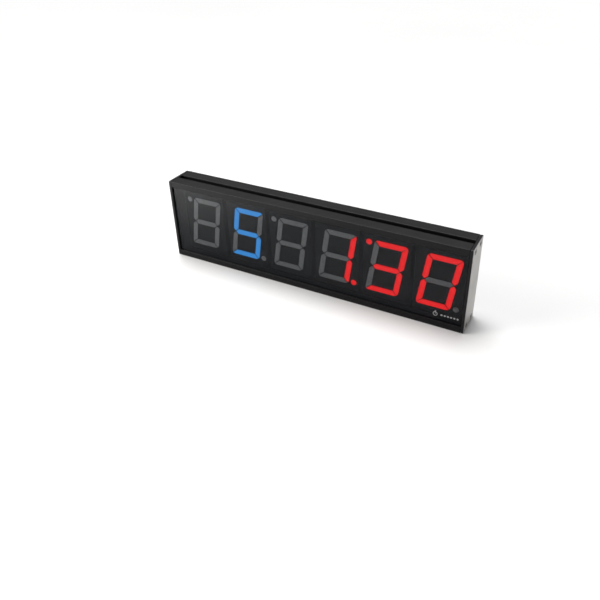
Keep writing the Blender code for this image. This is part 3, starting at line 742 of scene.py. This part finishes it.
def shank(length, tip):
    """A screw's shank below its head, with a tapered tip."""
    return [(SHANK_R, tip - length), (SHANK_R - tip, -length), (0, -length)]


def screw_at(profile, head, at):
    """A screw with a hexagon socket, whose head's top is at a height."""
    socket = prism("z", [circle(SOCKET_R, sides=6)], head - SOCKET_DEEP, head + 2 * PAST, 0)
    wide = SOCKET_R + SOCKET_MOUTH
    mouth = [(0, head + PAST), (wide, head + PAST), (wide, head - GAP / 2)]
    mouth += [(SOCKET_R * SOCKET_CONE, head - GAP), (0, head - GAP)]
    screw = carved(lathe(profile), lathe(mouth, steps=36, first=0.125), socket)
    screw.transform(at)
    return screw


def make_plate_screws():
    profile = [(0, -GAP / 2), (HEAD_R - HEAD_EDGE, -GAP / 2), (HEAD_R, -GAP), (SHANK_R, -HEAD_DEEP)]
    profile += shank(PLATE_SCREW, PLATE_SCREW_TIP)
    for side, word in ((-1, "left"), (1, "right")):
        for number, (y, z) in enumerate(port_places(), 1):
            turn = PLATE_SCREW_START + PLATE_SCREW_TURN * number * side
            spin = Matrix.Rotation(math.radians(turn), 4, "Z")
            at = outward(side, y, z) @ spin
            name = f"{word}_plate_screw_{number}"
            piece(name, screw_at(profile, -GAP / 2, at), [BLACK_SCREW], [name])


def make_cover_screws():
    profile = [(HEAD_R * across, PAN_HEAD * up) for across, up in PAN_DOME]
    profile += [(HEAD_R, PAN_FOOT), (HEAD_R - PAN_FOOT, 0), (SHANK_R, 0)]
    profile += shank(COVER_SCREW, COVER_SCREW_TIP)
    for number in range(1, 5):
        name = f"cover_screw_{number}"
        low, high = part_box(name)
        base = Vector(((low.x + high.x) / 2, high.y - PAN_HEAD, (low.z + high.z) / 2))
        spin = Matrix.Rotation(math.radians(COVER_SCREW_TURN * number), 4, "Z")
        at = Matrix.Translation(base) @ TO_BACK @ spin
        piece(name, screw_at(profile, PAN_HEAD, at), [BLACK_SCREW], [name])


def make_front_panel():
    outline = rectangle((PANEL_LOW.x, PANEL_LOW.z), (PANEL_HIGH.x, PANEL_HIGH.z), SHEET_CORNER)
    panel = prism("y", [outline], PANEL_LOW.y, PANEL_HIGH.y, PANEL_EDGE)
    looks = [SMOKED, SMOKED_BACK]
    piece("front_panel", panel, looks, ["front_panel"], pick=lambda f: int(f.normal.y > 0.5))


def keyhole(x):
    """A keyhole's outline: a round entry with a narrow slot going up from it."""
    lean = math.asin(KEYHOLE_SLOT / KEYHOLE_R)
    first, sweep = math.pi / 2 + lean, math.tau - 2 * lean
    big = [first + sweep * i / KEYHOLE_STEPS for i in range(KEYHOLE_STEPS + 1)]
    small = [math.pi * i / KEYHOLE_TOP_STEPS for i in range(KEYHOLE_TOP_STEPS + 1)]
    points = [(x + KEYHOLE_R * math.cos(a), KEYHOLE_Z + KEYHOLE_R * math.sin(a)) for a in big]
    top = KEYHOLE_Z + KEYHOLE_RISE
    points += [(x + KEYHOLE_SLOT * math.cos(a), top + KEYHOLE_SLOT * math.sin(a)) for a in small]
    return points


def make_back_cover():
    outline = rectangle((COVER_LOW.x, COVER_LOW.z), (COVER_HIGH.x, COVER_HIGH.z), SHEET_CORNER)
    holes = [keyhole(-KEYHOLE_X), keyhole(KEYHOLE_X)]
    for number in range(1, 5):
        low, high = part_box(f"cover_screw_{number}")
        holes.append(circle(CLEAR_R, ((low.x + high.x) / 2, (low.z + high.z) / 2), 32))
    low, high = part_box("beeper")
    x, z = (low.x + high.x) / 2, (low.z + high.z) / 2
    holes.append(circle(BEEP_HOLE_R, (x, z), 28))
    for turn in range(BEEP_HOLES):
        angle = math.tau * turn / BEEP_HOLES
        at = (x + BEEP_RING * math.cos(angle), z + BEEP_RING * math.sin(angle))
        holes.append(circle(BEEP_HOLE_R, at, 28))
    cover = prism("y", [outline, *holes], COVER_LOW.y, COVER_HIGH.y, COVER_EDGE)
    piece("back_cover", cover, [COVER], ["back_cover"])


# ---------------------------------------------------------------- the digits
def corner_arc(x, y, first, last, steps=6):
    """Points of the rounded outer corner at (x, y), between two angles in degrees."""
    turn_x = math.copysign(abs(x) - CHAR_CORNER, x)
    turn_y = math.copysign(abs(y) - CHAR_CORNER, y)
    angles = [math.radians(first + (last - first) * i / steps) for i in range(steps + 1)]
    return [(turn_x + CHAR_CORNER * math.cos(a), turn_y + CHAR_CORNER * math.sin(a)) for a in angles]


def bar_outlines():
    """The seven slanted bars of a figure eight and the dot, in the order the digits list them."""
    w, h = CHAR_W / 2, CHAR_H / 2
    in_w, in_h, half = w - STROKE, h - STROKE, STROKE / 2
    top = [(-in_w, in_h), (in_w, in_h), *corner_arc(w, h, 45, 90), *corner_arc(-w, h, 90, 135)]
    right = [(in_w, in_h), (in_w, half), (w - half, 0), (w, half), *corner_arc(w, h, 0, 45)]
    middle = [(-in_w, -half), (in_w, -half), (w - half, 0), (in_w, half), (-in_w, half), (half - w, 0)]
    bars = [middle]
    for shape in (top, right, [(-x, z) for x, z in right]):
        bars += [shape, [(-x, -z) for x, z in shape]]
    # The half turn of an upper right bar is the lower left one, so those two change places
    bars[4], bars[6] = bars[6], bars[4]
    bars = [[(x + z * SLANT, z) for x, z in turned_left(bar)] for bar in bars]
    return [softened(moved_in(bar, SPLIT / 2), BAR_CORNER, 4) for bar in bars] + [circle(DOT_R, DOT, 36)]


def shrunk(low, high, by):
    """A rectangle's two corners, each that far further in."""
    return (low[0] + by, low[1] + by), (high[0] - by, high[1] - by)


def make_digits():
    bars = bar_outlines()
    for number in range(1, DIGITS + 1):
        low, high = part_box(f"digit_{number}_housing")
        x, z = (low.x + high.x) / 2, (low.z + high.z) / 2
        # Every other module is fitted upside down, which only moves its dot
        dot_turn = -1 if number % 2 else 1
        shapes = [[(x + across, z + up) for across, up in bar] for bar in bars[:-1]]
        shapes.append(circle(DOT_R, (x + dot_turn * DOT[0], z + dot_turn * DOT[1]), 36))
        corners = (low.x, low.z), (high.x, high.z)
        base = low.y + FACE_WALL
        body = prism("y", [rectangle(*corners, MODULE_CORNER), *shapes], low.y, high.y, EDGE, 2)
        inner = shrunk(*corners, FACE_WALL)
        pocket = prism("y", [rectangle(*inner, POCKET_CORNER)], base, high.y + POCKET_PAST, 0)
        name = f"digit_{number}_housing"
        piece(name, carved(body, pocket), [HOUSING], [name])

        node = f"digit_{number}_light_bars"
        colour, lit = LIT.get(number, (None, set()))
        sheet_low, sheet_high = base + GAP, base + GAP + BAR_PLATE
        solids = {True: [], False: []}
        for index, shape in enumerate(shapes):
            fitted = moved_in(turned_left(shape), BAR_CLEAR)
            is_lit = index in lit
            depth = sheet_high if is_lit else sheet_low + BAR_PLATE / 2
            solids[is_lit].append(prism("y", [fitted], low.y, depth, BAR_CLEAR, 2, core=0.5))
        sheet_holes = [moved_in(turned_left(shapes[i]), -SHEET_CLEAR) for i in sorted(lit)]
        carrier = prism("y", [rectangle(*shrunk(*inner, GAP)), *sheet_holes], sheet_low, sheet_high, 0)
        unlit = joined(carrier, *solids[False])
        piece(f"digit_{number}_unlit_bars", unlit, [UNLIT], [node])
        if lit:
            glow = BLUE if colour == "blue" else RED
            shining = joined(*solids[True])
            piece(f"digit_{number}_lit_bars", shining, [glow], [node])


# Printed films: how far one starts from the surface, and where it ends
FILM_OFF = 0.00001
FILM_TOP = 0.00007
PRINT_EDGE = 0.00002
MASK_MARGIN = 0.001
MASK_CORNER = 0.0015
SIGN = (0.1360, 0.0132)
SIGN_RING = (0.0023, 0.00165)
SIGN_CROWN = (0.0006, 0.0004)
SIGN_CROWN_CORNER = 0.0001
SIGN_CROWN_UP = 0.0030
SIGN_HAND = [(-0.0003, -0.0002), (0.0003, -0.0002), (0.0002, 0.0013), (-0.0002, 0.0013)]
SIGN_DOTS = 6
SIGN_DOT_R = 0.0010
SIGN_DOT_FIRST = 0.0062
SIGN_DOT_STEP = 0.0031


def make_panel_mask():
    """The black border printed on the back of the panel, round the digits."""
    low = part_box("digit_1_housing")[0]
    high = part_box(f"digit_{DIGITS}_housing")[1]
    window = rectangle((low.x, low.z), (high.x, high.z), MASK_CORNER)
    corners = shrunk((PANEL_LOW.x, PANEL_LOW.z), (PANEL_HIGH.x, PANEL_HIGH.z), MASK_MARGIN)
    outline = rectangle(*corners, SHEET_CORNER)
    mask = prism("y", [outline, window], PANEL_HIGH.y + FILM_OFF, PANEL_HIGH.y + FILM_TOP, 0)
    piece("panel_mask", mask, [BLACK_INK], [])


def make_panel_print():
    """A small generic stopwatch sign and a row of plain dots in the panel's lower corner."""
    x, z = SIGN
    shapes = [[circle(radius, SIGN, 40) for radius in SIGN_RING]]
    shapes.append([about(*SIGN_CROWN, SIGN_CROWN_CORNER, (x, z + SIGN_CROWN_UP))])
    shapes.append([[(x + across, z + up) for across, up in SIGN_HAND]])
    for i in range(SIGN_DOTS):
        shapes.append([circle(SIGN_DOT_R, (x + SIGN_DOT_FIRST + i * SIGN_DOT_STEP, z), 28)])
    low, high = PANEL_LOW.y - FILM_TOP, PANEL_LOW.y - FILM_OFF
    parts = [prism("y", loops, low, high, PRINT_EDGE, 2) for loops in shapes]
    piece("panel_print", joined(*parts), [INK], [])


# ---------------------------------------------------------------- the inlets
def inlet_turned(profile, x, z, steps=56, first=0.0):
    """A solid of revolution on the inlets' line whose Z leaves the case at X."""
    return lathe(profile, Matrix.Translation((x, INLET_Y, z)) @ TO_LEFT, steps, first)


def box_body(low, high, middle, corner):
    """An inlet's square body behind the end plate, about a point."""
    half_y, half_z = (high.y - low.y) / 2, (high.z - low.z) / 2
    return prism("x", [about(half_y, half_z, corner, middle)], INLET_OUT, INLET_IN)


def rod(radius, half):
    """The profile of a plain rod about its middle."""
    return [(0, half), (radius, half), (radius, -half), (0, -half)]


def make_jack():
    body = box_body(JACK_LOW, JACK_HIGH, (INLET_Y, JACK_Z), JACK_CORNER)
    tall = INLET_OUT - FLUSH_X
    nose = [(0, tall), (JACK_R, tall), (JACK_R, -PAST), (0, -PAST)]
    nose = inlet_turned(softened(nose, JACK_EDGE, 3, False), INLET_OUT, JACK_Z)
    deep = JACK_FLOOR - INLET_OUT
    mouth = JACK_BORE + JACK_CHAMFER
    bore = [(0, tall + 2 * PAST), (mouth, tall + 2 * PAST), (mouth, tall)]
    bore += [(JACK_BORE, tall - JACK_CHAMFER), (JACK_BORE, -deep), (0, -deep)]
    top = SEAT_PAST - deep
    seat = [(0, top), (JACK_PIN + GAP, top), (JACK_PIN + GAP, -SEAT_DEEP), (0, -SEAT_DEEP)]
    body = carved(body, nose, how="UNION")
    bore = inlet_turned(bore, INLET_OUT, JACK_Z, first=0.5)
    body = carved(body, bore, inlet_turned(seat, INLET_OUT, JACK_Z, 32, 0.17))
    piece("dc_jack_body", body, [PLASTIC], ["dc_jack_body"])

    pin_low, pin_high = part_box("dc_jack_pin")
    length = pin_high.x - pin_low.x
    profile = [(JACK_PIN * across, -back) for across, back in PIN_TIP] + [(JACK_PIN, -length), (0, -length)]
    pin = inlet_turned(profile, pin_low.x, JACK_Z, 40)
    outline = about(*PIN_SPLIT, 0, (INLET_Y, JACK_Z))
    split = prism("x", [outline], pin_low.x - PAST, pin_low.x + PIN_SPLIT_DEEP, 0)
    piece("dc_jack_pin", carved(pin, split), [BRASS], ["dc_jack_pin"])

    # The sprung leaf that the plug's barrel rubs on, under the bore
    z = JACK_Z - JACK_BORE + LEAF_LIFT
    rise = [(FLUSH_X + back, z + up) for back, up in LEAF] + [(JACK_FLOOR - GAP, z)]
    under = [(x, height + LEAF_THICK) for x, height in reversed(rise)]
    leaf = prism("y", [rise + under], INLET_Y - LEAF_HALF, INLET_Y + LEAF_HALF, LEAF_EDGE, 2)
    piece("dc_jack_leaf", leaf, [BRASS], [])


def make_switch():
    middle = (INLET_Y, SWITCH_Z)
    place = Matrix.Translation((ROCKER_X, *middle))
    body = box_body(SWITCH_LOW, SWITCH_HIGH, middle, SWITCH_CORNER)
    nose_outline = about(*NOSE_HALF, SWITCH_CORNER, middle, 5)
    nose = prism("x", [nose_outline], FLUSH_X, INLET_OUT + PAST, SWITCH_EDGE)
    well = prism("x", [about(*WELL_HALF, WELL_CORNER, middle, 3)], FLUSH_X - PAST, WELL_FLOOR, 0)
    rim_outline = about(*(half + WELL_RIM for half in WELL_HALF), WELL_RIM_CORNER, middle, 3)
    rim = prism("x", [rim_outline], FLUSH_X - PAST, FLUSH_X + WELL_RIM, 0)
    bearing = lathe(rod(BEARING_R, BEARING_HALF), place @ TO_BACK, 24)
    body = carved(body, nose, how="UNION")
    body = carved(body, well, rim, bearing)
    piece("power_switch_body", body, [PLASTIC], ["power_switch_body"])

    tilt = place @ Matrix.Rotation(ROCKER_TILT, 4, "Y")
    outline = [(-out, -along) for out, along in ROCKER_FACE]
    outline += [(-out, along) for out, along in reversed(ROCKER_FACE)]
    outline += [(ROCKER_SHOULDER, ROCKER_HALF), (ROCKER_KEEL, 0.0), (ROCKER_SHOULDER, -ROCKER_HALF)]
    outline = softened(outline, ROCKER_CORNER, 3)
    rocker = prism("y", [outline], -ROCKER_WIDE, ROCKER_WIDE, ROCKER_EDGE)
    axle = lathe(softened(rod(AXLE_R, AXLE_HALF), AXLE_EDGE, 2, False), TO_BACK, 28)
    rocker = carved(rocker, axle, how="UNION")
    rocker.transform(tilt)
    piece("power_rocker", rocker, [ROCKER], ["power_rocker"], "rocker")

    end, bend = ROCKER_FACE[:2]
    lean = math.atan2(end[0] - bend[0], end[1] - bend[1])
    stroke = [about(*MARK_STROKE, MARK_CORNER)]
    ring = [circle(radius, sides=32) for radius in MARK_RING]
    marks = []
    for loops, side in ((stroke, 1), (ring, -1)):
        mark = prism("x", loops, -MARK_PROUD, MARK_SUNK, PRINT_EDGE, 2)
        at = Matrix.Translation((-MARK_OUT, 0, side * MARK_Z))
        mark.transform(tilt @ at @ Matrix.Rotation(-side * lean, 4, "Y"))
        marks.append(mark)
    piece("power_rocker_marks", joined(*marks), [WHITE_INK], [], "rocker")


def make_pairing_button():
    profile = [(BUTTON_R * across, BUTTON_TALL - down) for across, down in BUTTON_DISH]
    profile += [(BUTTON_R - inward, BUTTON_TALL - down) for inward, down in BUTTON_RIM]
    profile += [(BUTTON_R, 0), (BUTTON_FLANGE_R, 0), (BUTTON_FLANGE_R, -BUTTON_FLANGE)]
    profile += [(BUTTON_STEM_R, -BUTTON_FLANGE), (BUTTON_STEM_R, -BUTTON_STEM), (0, -BUTTON_STEM)]
    button = inlet_turned(profile, BUTTON_HIGH.x - BUTTON_STEM, BUTTON_Z, 48)
    piece("pair_button", button, [ROCKER], ["pair_button"], "button")


# ---------------------------------------------------------------- inside
BEEPER_HOLE = 0.0010
BEEPER_LIP = 0.0001
# The beeper's upper edge: distances in from its wall and below its top
BEEPER_SHOULDER = [(0.0004, 0), (0.0001, 0.0001), (0, 0.0004)]
BEEPER_FOOT = 0.0002
# The capacitor from its top to its foot, with the crimp: shares of its radius and its height
CAN_LINE = [(0, 1), (0.9, 1), (1, 0.94), (1, 0.24), (0.88, 0.17), (1, 0.11), (1, 0), (0, 0)]
CAN_EDGE = 0.0003
LEAD_R = 0.0007
LEAD_STEPS = 28


def on_board(name):
    """A round node's place on the display board, its radius and its height."""
    low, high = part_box(name)
    at = Matrix.Translation(((low.x + high.x) / 2, low.y, (low.z + high.z) / 2)) @ TO_BACK
    return at, (high.x - low.x) / 2, high.y - low.y


def make_beeper():
    at, radius, tall = on_board("beeper")
    hole = [(0, tall / 2), (BEEPER_HOLE, tall / 2), (BEEPER_HOLE, tall - BEEPER_LIP)]
    profile = [*hole, (BEEPER_HOLE + BEEPER_LIP, tall)]
    profile += [(radius - inward, tall - down) for inward, down in BEEPER_SHOULDER]
    profile += [(radius, BEEPER_FOOT), (radius - BEEPER_FOOT, 0), (0, 0)]
    piece("beeper", lathe(profile, at, 64), [CHIP], ["beeper"])


def make_capacitor():
    at, radius, tall = on_board("filter_capacitor")
    outline = [(radius * across, tall * up) for across, up in CAN_LINE]
    can = lathe(softened(outline, CAN_EDGE, 4, False), at, 56)
    piece("filter_capacitor", can, [TINNED], ["filter_capacitor"])


def make_leads():
    """The two insulated leads between the inlet board and the display board."""
    for word, look in (("red", RED_WIRE), ("black", BLACK_WIRE)):
        name = f"power_lead_{word}"
        low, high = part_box(name)
        start = Vector((low.x + LEAD_R, low.y, low.z + LEAD_R))
        end = Vector((high.x, high.y - LEAD_R, high.z - LEAD_R))
        corner = Vector((start.x, end.y, (start.z + end.z) / 2))
        curve = bpy.data.curves.new(name, "CURVE")
        curve.dimensions = "3D"
        curve.bevel_depth = LEAD_R
        curve.bevel_resolution = 6
        curve.use_fill_caps = True
        line = curve.splines.new("POLY")
        line.points.add(LEAD_STEPS)
        for i, point in enumerate(line.points):
            t = i / LEAD_STEPS
            point.co = (*(start * (1 - t) ** 2 + corner * 2 * t * (1 - t) + end * t * t), 1)
        curve.materials.append(look)
        settle(in_scene(f"{name}_wire", curve), [name])


def dress_hidden_parts():
    """Finishes for the CAD nodes inside the case whose shapes stay."""
    looks = {
        "display_board": BOARD, "inlet_board": BOARD, "wireless_module": TINNED, "led_driver_1": CHIP,
        "led_driver_2": CHIP, "led_driver_3": CHIP, "regulator_coil": CHIP, "power_header": NYLON,
        "lead_header": NYLON, "pair_switch_body": PLASTIC,
    }
    looks.update({f"standoff_{number}": STEEL for number in range(1, 5)})
    for name, look in looks.items():
        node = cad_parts[name]
        node.data.materials.clear()
        node.data.materials.append(look)


make_rail("top_rail", TOP_Z, -1)
make_rail("bottom_rail", 0, 1)
make_end_plate("left_end_plate", -1)
make_end_plate("right_end_plate", 1)
make_plate_screws()
make_cover_screws()
make_front_panel()
make_back_cover()
make_digits()
make_panel_mask()
make_panel_print()
make_jack()
make_switch()
make_pairing_button()
make_beeper()
make_capacitor()
make_leads()
dress_hidden_parts()


# ---------------------------------------------------------------- floor, light and camera
FLOOR_HALF = 40
# The suns: the way their light runs, strength, spread in degrees, colour
SUNS = {
    "key": ((0.34, -0.30, -1.80), 3.15, 34, (1, 1, 1)),
    "side": ((0.80, 0.50, -0.70), 0.42, 26, (1, 0.98, 0.95)),
}
# The fill, a round lamp at the front left
FILL_AT = (-0.46, -0.40, 0.36)
FILL_TOWARDS = Vector((-0.12, 0, 0.04))
FILL_SIZE = 0.4
FILL_STRENGTH = 2.4
FILL_COLOUR = (1, 0.97, 0.93)
# How bright the white surround is as a light, and as the camera sees it
WORLD_LIGHT = 0.15
WORLD_SEEN = 1.0
# The flag's reach over the floor, the way it darkens, between which distances, and how far
FLAG_HALF = 0.9
FLAG_Z = 0.0005
FLAG_SLOPE = (1, 0.9, 0)
FLAG_FROM = -0.50
FLAG_TO = -0.16
FLAG_AMOUNT = 0.74
FLAG_COLOUR = (0.01, 0.012, 0.016, 1)


def make_floor():
    look = Look("pale_floor", Specular_IOR_Level=0.15)
    soft, fine = look.noise(0.9, 3), look.noise(60, 3)
    look.drive("Base Color", look.mixed(soft, (0.82, 0.82, 0.82), (0.86, 0.86, 0.86)))
    look.drive("Roughness", look.spread(fine, 0.75, 0.9))
    bm = bmesh.new()
    bmesh.ops.create_grid(bm, x_segments=8, y_segments=8, size=FLOOR_HALF)
    mesh = meshed("floor", bm)
    mesh.materials.append(look.material)
    in_scene("floor", mesh)


def aimed(lamp, along):
    lamp.rotation_euler = Vector(along).to_track_quat("-Z", "Y").to_euler()


def make_lamps():
    for name, (along, strength, spread, colour) in SUNS.items():
        sun = bpy.data.lights.new(name, "SUN")
        sun.energy = strength
        sun.angle = math.radians(spread)
        sun.color = colour
        aimed(in_scene(name, sun), along)
    light = bpy.data.lights.new("fill", "AREA")
    light.shape = "DISK"
    light.size = FILL_SIZE
    light.energy = FILL_STRENGTH
    light.color = FILL_COLOUR
    lamp = in_scene("fill", light)
    lamp.location = FILL_AT
    aimed(lamp, FILL_TOWARDS - lamp.location)


def make_flag():
    """A soft dark card over the floor in front, which only reflections see: painted shade in the reflections
    of the panel and the case's glossy faces, deepest near the case and to the right.
    """
    look = Look("flag")
    tree = look.tree
    slope = look.add("VectorMath", {0: look.place, 1: FLAG_SLOPE}, operation="DOT_PRODUCT")
    reach = {"From Min": FLAG_FROM, "From Max": FLAG_TO, "To Max": FLAG_AMOUNT}
    inputs = {"Value": slope.outputs["Value"], **reach}
    amount = look.add("MapRange", inputs, interpolation_type="SMOOTHSTEP").outputs[0]
    clear = look.add("BsdfTransparent").outputs[0]
    dark = look.add("BsdfDiffuse", {"Color": FLAG_COLOUR}).outputs[0]
    mix = look.add("MixShader", {0: amount, 1: clear, 2: dark}).outputs[0]
    tree.links.new(mix, tree.nodes["Material Output"].inputs["Surface"])
    tree.nodes.remove(look.shader)
    mesh = bpy.data.meshes.new("flag")
    back = -HALF_DEPTH - PAST
    corners = rectangle((-FLAG_HALF, -FLAG_HALF), (FLAG_HALF, back))
    mesh.from_pydata([(x, y, FLAG_Z) for x, y in corners], [], [(0, 1, 2, 3)])
    mesh.materials.append(look.material)
    flag = in_scene("flag", mesh)
    flag.visible_camera = False
    flag.visible_diffuse = False
    flag.visible_transmission = False
    flag.visible_shadow = False


def make_studio():
    """A pale surround, two soft suns from above and from the left, and a lamp at the front left."""
    world = bpy.data.worlds.new("studio")
    world.use_nodes = True
    tree = world.node_tree
    background = tree.nodes["Background"]
    background.inputs["Color"].default_value = (1.0, 1.0, 1.0, 1)
    seen = tree.nodes.new("ShaderNodeLightPath").outputs["Is Camera Ray"]
    strength = tree.nodes.new("ShaderNodeMapRange")
    strength.inputs["To Min"].default_value = WORLD_LIGHT
    strength.inputs["To Max"].default_value = WORLD_SEEN
    tree.links.new(seen, strength.inputs["Value"])
    tree.links.new(strength.outputs[0], background.inputs["Strength"])
    bpy.context.scene.world = world

    make_lamps()
    make_flag()
    view = bpy.context.scene.view_settings
    view.view_transform = "Standard"
    view.look = "None"


def make_camera():
    camera = bpy.data.cameras.new("camera")
    camera.sensor_width = 36
    camera.lens = 38.003
    camera.shift_x = -0.0433
    camera.shift_y = -0.0800
    camera.clip_start = 0.01
    camera.clip_end = 100
    holder = in_scene("camera", camera)
    holder.location = (0.26399, -0.48945, 0.36935)
    holder.rotation_euler = [math.radians(a) for a in (59.133, 0.430, 26.803)]
    bpy.context.scene.camera = holder


make_floor()
make_studio()
make_camera()
